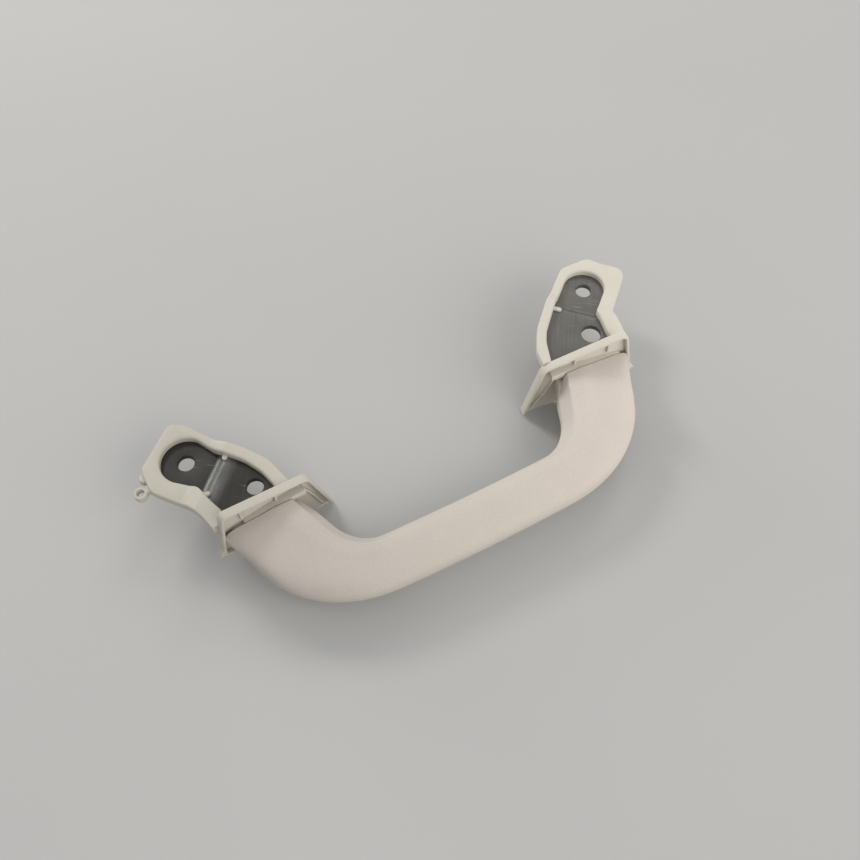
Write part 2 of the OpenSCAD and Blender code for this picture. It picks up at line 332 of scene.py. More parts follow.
def rim(r, low, high, low_r=0.0, steps=4):
    """Insets and heights up a slab's edge, with a rounded upper rim and, if asked, a rounded lower one."""
    rows = []
    for k in range(steps + 1 if low_r else 0):
        t = math.pi / 2 * k / steps
        rows.append((low_r * (1 - math.sin(t)), low + low_r * (1 - math.cos(t))))
    if not rows:
        rows.append((0, low))
    for k in range(steps + 1):
        t = math.pi / 2 * k / steps
        rows.append((r * (1 - math.cos(t)), high - r + r * math.sin(t)))
    return rows


def slab(outline, holes, low, high, r, step=1.2, low_r=0.0, hole_r=None):
    """A plate with rounded rims; outline and holes are clockwise."""
    bm = bmesh.new()
    tops, bottoms = [], []
    for points, sign in [(spaced(outline, step), 1)] + [(spaced(h, step), -1) for h in holes]:
        rings = []
        for d, z in rim(hole_r if hole_r and sign < 0 else r, low, high, low_r):
            rings.append([bm.verts.new((p.x, p.y, z)) for p in shifted(points, sign * d)])
        n = len(points)
        for a, b in zip(rings, rings[1:]):
            for j in range(n):
                bm.faces.new((a[j], a[(j + 1) % n], b[(j + 1) % n], b[j]))
        tops.append(rings[-1])
        bottoms.append(rings[0])
    for loops in (tops, bottoms):
        edges = []
        for ring in loops:
            for j in range(len(ring)):
                edges.append(bm.edges.get((ring[j], ring[(j + 1) % len(ring)])))
        bmesh.ops.triangle_fill(bm, use_beauty=True, use_dissolve=False, edges=edges)
    return bm


def slice_across(bm, direction, positions):
    """Cuts the mesh across a direction of its plan, so that it can bend there."""
    d = Vector((direction[0], direction[1], 0))
    for s in positions:
        bmesh.ops.bisect_plane(bm, geom=bm.verts[:] + bm.edges[:] + bm.faces[:], dist=1e-5,
                               plane_co=d * s, plane_no=d)


def cut_off(bm, point, normal):
    """Removes what lies beyond a plane and closes the cut."""
    cut = bmesh.ops.bisect_plane(bm, geom=bm.verts[:] + bm.edges[:] + bm.faces[:], dist=1e-6,
                                 plane_co=point, plane_no=normal, clear_outer=True)
    rim_edges = [e for e in cut["geom_cut"] if isinstance(e, bmesh.types.BMEdge) and len(e.link_faces) == 1]
    bmesh.ops.holes_fill(bm, edges=rim_edges, sides=0)


def add_mesh(target, source):
    """Copies one bmesh into another."""
    mesh = bpy.data.meshes.new("part")
    source.to_mesh(mesh)
    source.free()
    target.from_mesh(mesh)
    bpy.data.meshes.remove(mesh)


def mirrored(bm):
    """Turns a right end's mesh into a left end's."""
    bmesh.ops.transform(bm, matrix=Matrix.Scale(-1, 4, (1, 0, 0)), verts=bm.verts)
    return bm


# The pads' bend over the joggle

AXIS = Vector((-math.sqrt(0.5), -math.sqrt(0.5)))


def ease(f):
    f = max(0.0, min(1.0, f))
    return f * f * (3 - 2 * f)


def bend(start, run, rise, p, soft):
    """Height of a plate that rises from start along the pad's axis over a length run."""
    s = AXIS.dot(Vector((p[0], p[1])))
    f = (s - start) / run
    straight = max(0.0, min(1.0, f))
    return rise * (straight * (1 - soft) + ease(f) * soft)


def steel_rise(p):
    return bend(CREASE, JOGGLE_RUN, JOGGLE, p, 0.9)


def border_rise(p):
    return bend(BORDER_CREASE - BORDER_RUN / 2, BORDER_RUN, JOGGLE, p, 0.12)


def bend_stops(start, run):
    """Places across a bend at which a plate is cut before it is bent."""
    return [start - 0.6 + (run + 1.2) * k / 12 for k in range(13)]


def collar_matrix():
    """From a collar's own plane, with its wall's back at height 0, to the right end of the handle."""
    return (Matrix.Translation(COLLAR_AT) @ Matrix.Rotation(rad(-COLLAR_TURN), 4, "Z")
            @ Matrix.Rotation(rad(90 - COLLAR_TILT), 4, "X"))


WALL_NORMAL = (collar_matrix().to_3x3() @ Vector((0, 0, 1))).normalized()


def wall_point(height):
    """The point above the middle of the collar's plane."""
    return collar_matrix() @ Vector((0, 0, height))


# The grip's path and sections


# Half the path is a bowed bar, a corner and a straight leg. What the corner leaves of the path's
# width and depth gives the lengths of the bar and the leg.
COLLAR_Y = 42.0
LEG_X = 93.0
RUN_V = (REACH - COLLAR_Y) / math.cos(rad(GRIP_FALL))
TURN_END = 90 - LEG_LEAN
CORNER_X = CORNER_R * (math.sin(rad(TURN_END)) - math.sin(rad(BAR_BOW)))
CORNER_V = CORNER_R * (math.cos(rad(BAR_BOW)) - math.cos(rad(TURN_END)))
BOW_S = math.sin(rad(BAR_BOW)) / rad(BAR_BOW)
BOW_C = (1 - math.cos(rad(BAR_BOW))) / rad(BAR_BOW)
DET = BOW_S * math.cos(rad(LEG_LEAN)) - BOW_C * math.sin(rad(LEG_LEAN))
LEFT_X = LEG_X - CORNER_X
LEFT_V = RUN_V - CORNER_V
BAR_HALF = (LEFT_X * math.cos(rad(LEG_LEAN)) - LEFT_V * math.sin(rad(LEG_LEAN))) / DET
LEG_LEN = (BOW_S * LEFT_V - BOW_C * LEFT_X) / DET
BOW_R = BAR_HALF / rad(BAR_BOW)
CORNER_LEN = CORNER_R * rad(TURN_END - BAR_BOW)
HALF_LEN = BAR_HALF + CORNER_LEN + LEG_LEN
COLLAR_EASE = 24.0
END_TURN = 1.0
END_X = LEG_X + 0.6
STRAP_FLOOR = -STEEL / 2
REVEAL = 0.4
NECK_LEN = 8.0
NECK_GAP = 0.2
INNER_PLAY = 0.4
OVAL_BAR = 2.6
OVAL_LEG = 5.8
OVAL_FROM = 40.0
OVAL_RUN = 34.0


def heading(s):
    """Direction of the path, in degrees from the X axis, at a length s from the grip's middle."""
    if s < BAR_HALF:
        return BAR_BOW * s / BAR_HALF
    return min(TURN_END, BAR_BOW + math.degrees((s - BAR_HALF) / CORNER_R))


def place(s):
    """Point of the path's half at a length s from the grip's middle."""
    h = rad(heading(s))
    if s < BAR_HALF:
        return Vector((BOW_R * math.sin(h), BOW_R * (1 - math.cos(h)) - RUN_V))
    bow = rad(BAR_BOW)
    start = Vector((BOW_R * math.sin(bow), BOW_R * (1 - math.cos(bow)) - RUN_V))
    if s < BAR_HALF + CORNER_LEN:
        return start + CORNER_R * Vector((math.sin(h) - math.sin(bow), math.cos(bow) - math.cos(h)))
    end = start + Vector((CORNER_X, CORNER_V))
    return end + (s - BAR_HALF - CORNER_LEN) * Vector((math.cos(rad(TURN_END)), math.sin(rad(TURN_END))))


def lateral(s):
    """Direction across the path, which turns to the collar's own near the end."""
    e = ease((s - HALF_LEN + COLLAR_EASE) / COLLAR_EASE)
    return rad((1 - e) * (heading(s) - 90) - e * END_TURN)


def station(s, a, b):
    """Point at a length s along the whole path, a across it and b above it."""
    d = abs(s)
    q = place(d) + a * Vector((math.cos(lateral(d)), math.sin(lateral(d))))
    return Vector((-q.x if s < 0 else q.x, q.y, b))


def half_width(s):
    """Half the grip's width, which grows round the corner."""
    return BAR_HW + (LEG_HW - BAR_HW) * ease((abs(s) - BAR_HALF) / CORNER_LEN)


def fullness(s):
    """Exponent of the section's oval, which grows squarer towards the collars."""
    return OVAL_BAR + (OVAL_LEG - OVAL_BAR) * ease((abs(s) - HALF_LEN + OVAL_FROM) / OVAL_RUN)


def signed_power(x, n):
    """The superellipse's power, with the sign kept."""
    return math.copysign(abs(x) ** (2 / n), x) if abs(x) > 1e-12 else 0.0


def oval(w, h, t, n):
    """Point at t degrees on a superellipse."""
    return (w * signed_power(math.cos(rad(t)), n), h * signed_power(math.sin(rad(t)), n))


def seam_angle(h, n):
    """Angle in degrees at which an oval meets the seam's height."""
    return math.degrees(math.asin((SEAM / h) ** (n / 2)))


def arch(w, h, n, count):
    """The part of an oval above the seam."""
    t0 = seam_angle(h, n)
    return [oval(w, h, t0 + (180 - 2 * t0) * k / count, n) for k in range(count + 1)]


def ridged(points, s, width):
    """Gives the grip's inner shoulder beside a collar a flat side face below a rounded ridge."""
    strength = ease((abs(s) - HALF_LEN + RIDGE_LEN) / RIDGE_FADE)
    if strength <= 0 or width <= 0:
        return points
    along = HALF_LEN - COVER_GAP - abs(s)
    # The flat face is narrower next to the collar and far away from it
    reach = width * (0.55 + 0.45 * ease(along / 14)) * (1 - 0.3 * ease((along - 45) / 35))
    half = (len(points) - 1) // 2
    top = Vector(points[half])
    foot = Vector(points[-1])
    ridge_at = Vector((foot.x + reach, top.y - RIDGE_DROP))
    nose = corner(top, ridge_at, foot, RIDGE_ROUND, half // 4)
    count = half - half // 4
    over = count - count // 3
    run = [top.lerp(nose[0], k / over) + Vector((0, RIDGE_CROWN * math.sin(math.pi * k / over) ** 2))
           for k in range(over)]
    down = [nose[-1].lerp(foot, k / (count - over)) for k in range(1, count - over + 1)]
    shoulder = run + nose + down
    return points[:half] + [tuple(Vector(p).lerp(q, strength)) for p, q in zip(points[half:], shoulder)]


def cover_section(s, width, shrink=0.0):
    """Closed outline of the cover's shell, over the outside and back along the inside."""
    w, n = half_width(s) - shrink, fullness(s)
    outer = ridged(arch(w, GRIP_HT - shrink, n, 48), s, width)
    inner = arch(half_width(s) - WALL - INNER_PLAY, GRIP_HT - WALL, n, 24)
    return outer + list(reversed(inner))


def rear_section(s):
    """Closed outline of the rear shell, with a flat floor for the strap and a step at the seam."""
    w, n = half_width(s), fullness(s)
    top = oval(w, GRIP_HT, seam_angle(GRIP_HT, n), n)[0]
    neck = abs(s) > HALF_LEN - NECK_LEN
    inner = [(q[0], q[1] if neck else STRAP_FLOOR)
             for q in arch(w - WALL - NECK_GAP - INNER_PLAY, GRIP_HT - WALL - NECK_GAP, n, 24)]
    under = [oval(w, GRIP_HT, -180 * k / 44, n) for k in range(44, -1, -1)]
    return (inner + [(WALL - top, SEAM), (REVEAL - top, SEAM), (-top, SEAM - REVEAL)] + under
            + [(top, SEAM - REVEAL), (top - REVEAL, SEAM), (top - WALL, SEAM)])


def meet(x, h, d):
    """Distance along the grip's plane at which a line at x and h is d in front of the collar wall's back."""
    fall = rad(GRIP_FALL)
    start = Vector((x, -h * math.sin(fall) - COLLAR_Y, h * math.cos(fall) + STEEL - GRIP_DROP))
    along = Vector((0, math.cos(fall), math.sin(fall)))
    return (d - WALL_NORMAL.dot(start - Vector(COLLAR_AT))) / WALL_NORMAL.dot(along)


def end_ring(side, section, d, slant=0.0):
    """A section set along a collar, d in front of its back and further away towards the grip's middle."""
    ring = []
    for across, height in section:
        x = END_X + across
        ring.append(Vector((side * x, meet(x, height, d + slant * (LEG_HW - across)), height)))
    return ring


def stops(ends, fine=60):
    """Lengths along the path at which a section stands; ends are counted from the path's end."""
    half = [BAR_HALF * k / 10 for k in range(1, 11)]
    limit = HALF_LEN + ends[0]
    half += [BAR_HALF + (limit - BAR_HALF) * k / fine for k in range(1, fine)]
    half += [HALF_LEN + e for e in ends]
    return [-d for d in reversed(half)] + [0.0] + half


def grip_matrix():
    """From the grip's own plane to the handle."""
    return (Matrix.Translation((0, -COLLAR_Y, STEEL - GRIP_DROP))
            @ Matrix.Rotation(rad(GRIP_FALL), 4, "X"))


# Shader groups and materials


class Nodes:
    """Short ways to place and join nodes in one tree."""

    def __init__(self, tree):
        self.tree = tree

    def add(self, kind, inputs=None, **settings):
        """A new node with its inputs joined or set."""
        node = self.tree.nodes.new(kind)
        for key, value in settings.items():
            setattr(node, key, value)
        for key, value in (inputs or {}).items():
            self.put(node.inputs[key], value)
        return node

    def put(self, socket, value):
        if isinstance(value, bpy.types.NodeSocket):
            self.tree.links.new(value, socket)
        else:
            socket.default_value = value

    def math(self, operation, a, b=0.0, clamp=False):
        return self.add("ShaderNodeMath", {0: a, 1: b}, operation=operation, use_clamp=clamp).outputs[0]

    def ramp(self, value, stops_at):
        """Grey levels at given values, straight between them."""
        node = self.add("ShaderNodeValToRGB", {0: value})
        elements = node.color_ramp.elements
        while len(elements) < len(stops_at):
            elements.new(0.5)
        for e, (position, level) in zip(elements, stops_at):
            e.position = position
            e.color = (level, level, level, 1)
        return node.outputs[0]

    def mix(self, factor, a, b, blend="MIX"):
        """Mixes two colours."""
        node = self.tree.nodes.new("ShaderNodeMix")
        node.data_type = "RGBA"
        node.blend_type = blend
        self.put(node.inputs[0], factor)
        self.put(node.inputs[6], a)
        self.put(node.inputs[7], b)
        return node.outputs[2]


def new_group(name, inputs, outputs):
    """A shader group with named sockets, ready to be filled."""
    tree = bpy.data.node_groups.new(name, "ShaderNodeTree")
    for label, kind, default in inputs:
        socket = tree.interface.new_socket(label, in_out="INPUT", socket_type=kind)
        if default is not None:
            socket.default_value = default
    for label, kind in outputs:
        tree.interface.new_socket(label, in_out="OUTPUT", socket_type=kind)
    n = Nodes(tree)
    return tree, n, n.add("NodeGroupInput").outputs, n.add("NodeGroupOutput").inputs


def noise(n, vector, scale, detail, roughness=0.5, distortion=0.0):
    """Value of a noise texture."""
    return n.add("ShaderNodeTexNoise", {"Vector": vector, "Scale": scale, "Detail": detail,
                                        "Roughness": roughness, "Distortion": distortion}).outputs["Fac"]


def grain_group():
    """Fine spark-eroded grain: a height, a tone and a roughness that vary over the surface."""
    tree, n, given, out = new_group(
        "Moulded grain",
        [("Vector", "NodeSocketVector", None), ("Scale", "NodeSocketFloat", 2600.0),
         ("Blotch", "NodeSocketFloat", 60.0)],
        [("Height", "NodeSocketFloat"), ("Tone", "NodeSocketFloat"), ("Rough", "NodeSocketFloat")])
    fine = noise(n, given["Vector"], given["Scale"], 2.0, roughness=0.6)
    cell_scale = n.math("MULTIPLY", given["Scale"], 0.55)
    cell = n.add("ShaderNodeTexVoronoi", {"Vector": given["Vector"], "Scale": cell_scale},
                 feature="SMOOTH_F1")
    blotch = noise(n, given["Vector"], given["Blotch"], 4.0, roughness=0.55)
    n.put(out["Height"], n.math("ADD", n.math("MULTIPLY", fine, 0.6),
                                n.math("MULTIPLY", cell.outputs["Distance"], 0.5)))
    n.put(out["Tone"], blotch)
    n.put(out["Rough"], n.math("ADD", n.math("MULTIPLY", fine, 0.5), n.math("MULTIPLY", blotch, 0.5)))
    return tree


def rub_group():
    """Faint hand rubs and small dark scuffs."""
    tree, n, given, out = new_group(
        "Rubs and scuffs",
        [("Vector", "NodeSocketVector", None), ("Scale", "NodeSocketFloat", 90.0),
         ("Amount", "NodeSocketFloat", 0.5)],
        [("Scuff", "NodeSocketFloat"), ("Rub", "NodeSocketFloat")])
    stretch = n.add("ShaderNodeMapping",
                    {"Vector": given["Vector"], "Scale": (1.0, 0.35, 1.0), "Rotation": (0, 0, 0.9)})
    spots = noise(n, stretch.outputs[0], given["Scale"], 6.0, roughness=0.7, distortion=0.6)
    wide = noise(n, given["Vector"], n.math("MULTIPLY", given["Scale"], 0.2), 3.0)
    scuff = n.ramp(spots, [(0.60, 0.0), (0.78, 1.0)])
    n.put(out["Scuff"], n.math("MULTIPLY", n.math("MULTIPLY", scuff, given["Amount"]),
                               n.ramp(wide, [(0.42, 0.0), (0.62, 1.0)])))
    n.put(out["Rub"], n.ramp(wide, [(0.38, 0.0), (0.66, 1.0)]))
    return tree


def scratch_group():
    """Straight fine scratches and rolling lines of pressed sheet steel."""
    tree, n, given, out = new_group(
        "Sheet steel scratches",
        [("Vector", "NodeSocketVector", None), ("Turn", "NodeSocketVector", None),
         ("Scale", "NodeSocketFloat", 900.0)],
        [("Lines", "NodeSocketFloat"), ("Scratch", "NodeSocketFloat"), ("Stain", "NodeSocketFloat")])
    turned = n.add("ShaderNodeMapping", {"Vector": given["Vector"], "Rotation": given["Turn"]})
    drawn = n.add("ShaderNodeMapping", {"Vector": turned.outputs[0], "Scale": (1.0, 0.03, 1.0)})
    lines = noise(n, drawn.outputs[0], given["Scale"], 3.0, roughness=0.7)
    crossed = n.add("ShaderNodeMapping",
                    {"Vector": turned.outputs[0], "Scale": (0.06, 1.0, 1.0), "Rotation": (0, 0, 0.5)})
    cuts = noise(n, crossed.outputs[0], n.math("MULTIPLY", given["Scale"], 0.5), 2.0, roughness=0.8)
    stain = noise(n, given["Vector"], n.math("MULTIPLY", given["Scale"], 0.1), 5.0, roughness=0.65)
    n.put(out["Lines"], lines)
    n.put(out["Scratch"], n.ramp(cuts, [(0.66, 0.0), (0.74, 1.0)]))
    n.put(out["Stain"], stain)
    return tree


def group_node(n, tree, inputs):
    """A group placed in a material."""
    node = n.tree.nodes.new("ShaderNodeGroup")
    node.node_tree = tree
    for key, value in inputs.items():
        n.put(node.inputs[key], value)
    return node


def shade(colour, *factors):
    """A colour times one factor, or times one for each channel, made opaque."""
    return tuple(c * f for c, f in zip(colour, factors * 3 if len(factors) == 1 else factors)) + (1,)


def plastic_material(name, colour, settings, groups, scuffs=0.5, rough=0.56):
    """Matte moulded plastic with fine grain, faint blotches and light scuffs, and painted light that makes
    it paler towards the right end.
    """
    mat = bpy.data.materials.new(name)
    mat.use_nodes = True
    mat.node_tree.nodes.clear()
    n = Nodes(mat.node_tree)
    where = n.add("ShaderNodeTexCoord").outputs["Object"]
    grain = group_node(n, groups["grain"], {"Vector": where, "Scale": 2600.0, "Blotch": 55.0})
    rub = group_node(n, groups["rub"], {"Vector": where, "Scale": 95.0, "Amount": scuffs})
    # Painted light: the colour is made darker at the left end and paler at the right, standing in for light
    # that falls more on the right
    split = n.add("ShaderNodeSeparateXYZ", {0: where})
    across = n.math("ADD", n.math("MULTIPLY", split.outputs["X"], 3.6), 0.5)
    along = n.ramp(across, [(0.1, 0.0), (0.9, 1.0)])
    base = n.mix(grain.outputs["Tone"], shade(colour, 0.96), shade(colour, 1.04))
    painted_light_tint = n.mix(along, (0.80, 0.80, 0.80, 1), (1.09, 1.09, 1.10, 1))
    base = n.mix(1.0, base, painted_light_tint, blend="MULTIPLY")
    speck = n.ramp(grain.outputs["Height"], [(0.30, 0.93), (0.75, 1.04)])
    base = n.mix(1.0, base, speck, blend="MULTIPLY")
    base = n.mix(rub.outputs["Scuff"], base, shade(colour, 0.62))
    rough_map = n.math("ADD", n.math("MULTIPLY", grain.outputs["Rough"], 0.22),
                       n.math("SUBTRACT", rough - 0.08, n.math("MULTIPLY", rub.outputs["Rub"], 0.07)))
    bump = n.add("ShaderNodeBump",
                 {"Strength": 0.22, "Distance": settings.grain, "Height": grain.outputs["Height"]})
    shader = n.add("ShaderNodeBsdfPrincipled", {"Base Color": base, "Roughness": rough_map,
                                                "Specular IOR Level": 0.36, "Normal": bump.outputs[0]})
    n.add("ShaderNodeOutputMaterial", {"Surface": shader.outputs[0]})
    return mat


def steel_material(name, settings, groups):
    """Dull pressed steel: darker and browner at the left end, brushed and greyer at the right, with a
    painted highlight over the bend of the joggle.
    """
    mat = bpy.data.materials.new(name)
    mat.use_nodes = True
    mat.node_tree.nodes.clear()
    n = Nodes(mat.node_tree)
    where = n.add("ShaderNodeTexCoord").outputs["Object"]
    marks = group_node(n, groups["scratch"], {"Vector": where, "Turn": (0.0, 0.0, 0.6), "Scale": 1100.0})
    split = n.add("ShaderNodeSeparateXYZ", {0: where})
    across = n.math("ADD", n.math("MULTIPLY", split.outputs["X"], 5.0), 0.5)
    right = n.ramp(across, [(0.35, 0.0), (0.65, 1.0)])
    colour = tuple(settings.steel)
    left_tone = n.mix(marks.outputs["Stain"], shade(colour, 0.17), shade(colour, 0.30, 0.28, 0.26))
    right_tone = n.mix(marks.outputs["Stain"], shade(colour, 0.62), shade(colour, 1.1))
    base = n.mix(right, left_tone, right_tone)
    # Painted highlight: a light band over the bend of the joggle, patchy with the stain noise, strongest at
    # the left end and fading over the inner plate
    inwards = n.math("SUBTRACT", PITCH / 2 * MM, n.math("ABSOLUTE", split.outputs["X"]))
    plan = n.math("SUBTRACT", inwards, split.outputs["Y"])
    bend_highlight = n.ramp(n.math("MULTIPLY", plan, 1 / (0.05 * math.sqrt(2))),
                  [(0.27, 0.0), (0.30, 1.0), (0.37, 0.75), (0.52, 0.0)])
    highlight_weight = n.math("SUBTRACT", 1.15, n.math("MULTIPLY", right, 0.8))
    patchy_highlight = n.math("MULTIPLY", highlight_weight, marks.outputs["Stain"], clamp=True)
    painted_highlight = n.math("MULTIPLY", bend_highlight, n.math("MULTIPLY", patchy_highlight, 1.4), clamp=True)
    base = n.mix(painted_highlight, base, (0.23, 0.235, 0.225, 1))
    lined = n.ramp(marks.outputs["Lines"], [(0.3, 0.82), (0.7, 1.16)])
    base = n.mix(1.0, base, lined, blend="MULTIPLY")
    base = n.mix(n.math("MULTIPLY", marks.outputs["Scratch"], 0.35), base, (0.42, 0.41, 0.39, 1))
    rough = n.math("ADD", n.math("MULTIPLY", marks.outputs["Lines"], 0.26),
                   n.math("ADD", 0.40, n.math("MULTIPLY", marks.outputs["Scratch"], -0.12)))
    height = n.math("ADD", n.math("MULTIPLY", marks.outputs["Lines"], 0.5),
                    n.math("MULTIPLY", marks.outputs["Scratch"], -0.6))
    bump = n.add("ShaderNodeBump", {"Strength": 0.25, "Distance": 0.06 * MM, "Height": height})
    metal = n.math("ADD", 0.45, n.math("MULTIPLY", marks.outputs["Stain"], 0.2))
    shader = n.add("ShaderNodeBsdfPrincipled", {"Base Color": base, "Roughness": rough, "Metallic": metal,
                                                "Normal": bump.outputs[0]})
    n.add("ShaderNodeOutputMaterial", {"Surface": shader.outputs[0]})
    return mat


def materials():
    """The handle's three finishes, made once."""
    if "Beige moulding" not in bpy.data.materials:
        s = bpy.context.scene.handle
        groups = {"grain": grain_group(), "rub": rub_group(), "scratch": scratch_group()}
        plastic_material("Beige moulding", tuple(s.plastic), s, groups, scuffs=0.55)
        plastic_material("Beige cover", tuple(s.cover), s, groups, scuffs=0.35, rough=0.54)
        steel_material("Pressed steel", s, groups)
    return {k: bpy.data.materials[v] for k, v in
            (("moulding", "Beige moulding"), ("cover", "Beige cover"), ("steel", "Pressed steel"))}


def take_over(obj, node):
    """Turns a finished piece from millimetres to metres and lets it stand for a solid of the part."""
    obj.data.transform(Matrix.Scale(MM, 4))
    obj.data.update()
    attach(obj, "root")
    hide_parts(node)


# Operators


class HANDLE_OT_strap(bpy.types.Operator):
    """Build the pressed steel strap with its two drilled ends"""

    bl_idname = "handle.strap"
    bl_label = "Steel strap"

    def execute(self, context):
        whole = bmesh.new()
        for end in ("right", "left"):
            add_mesh(whole, self.steel_end(end))
        add_mesh(whole, self.loop())
        finish_mesh(whole, 30)
        obj = mesh_object("steel_strap_skin", whole)
        obj.data.materials.append(materials()["steel"])
        take_over(obj, "steel_strap")
        return {"FINISHED"}

    def steel_end(self, end):
        """Lobe, joggle and raised plate of one end, with its slope down into the grip."""
        sx, sy, sd = SCREW[end]
        outline = opening(end, grow=COVER_LAP)
        holes = [circle((0, 0), BOLT_D / 2), circle((-sx, -sy), sd / 2)]
        bm = slab(outline, holes, 0, STEEL, 0.5, 1.0, 0.3)
        slice_across(bm, AXIS, bend_stops(CREASE, JOGGLE_RUN))
        for v in bm.verts:
            v.co.z += steel_rise(v.co)
            v.co.x += PITCH / 2
        cut_off(bm, wall_point(0), WALL_NORMAL)
        add_mesh(bm, self.drop())
        return mirrored(bm) if end == "left" else bm

    def drop(self):
        """The slope from the raised plate down into the grip."""
        fall = math.tan(rad(GRIP_FALL))
        top = STEEL + JOGGLE
        low = STEEL - GRIP_DROP - (-DROP_TO - COLLAR_Y) * fall + STRAP_FLOOR
        start = DROP_FROM + DROP_SINK
        end = DROP_TO - DROP_RUN
        end_low = low - DROP_RUN * fall
        profile = [(start, JOGGLE + DROP_SINK), (start, top - DROP_SINK), (DROP_FROM, top - DROP_SINK),
                   (DROP_TO, low + STEEL), (end, end_low + STEEL), (end, end_low),
                   (DROP_TO, low), (DROP_FROM, JOGGLE + DROP_SINK)]
        middle = LEG_X - DROP_SIDE
        bm = bmesh.new()
        loft(bm, [[Vector((middle + x, y, z)) for y, z in profile] for x in (-STRAP_W / 2, STRAP_W / 2)])
        return bm

    def loop(self):
        """The strip through the grip from collar to collar."""
        half = STRAP_W / 2
        section = ((half, STRAP_FLOOR), (half, -STRAP_FLOOR), (-half, -STRAP_FLOOR), (-half, STRAP_FLOOR))
        bm = bmesh.new()
        loft(bm, [[station(s, across, height) for across, height in section] for s in stops([-14, -9], 30)])
        bmesh.ops.transform(bm, matrix=grip_matrix(), verts=bm.verts)
        return bm


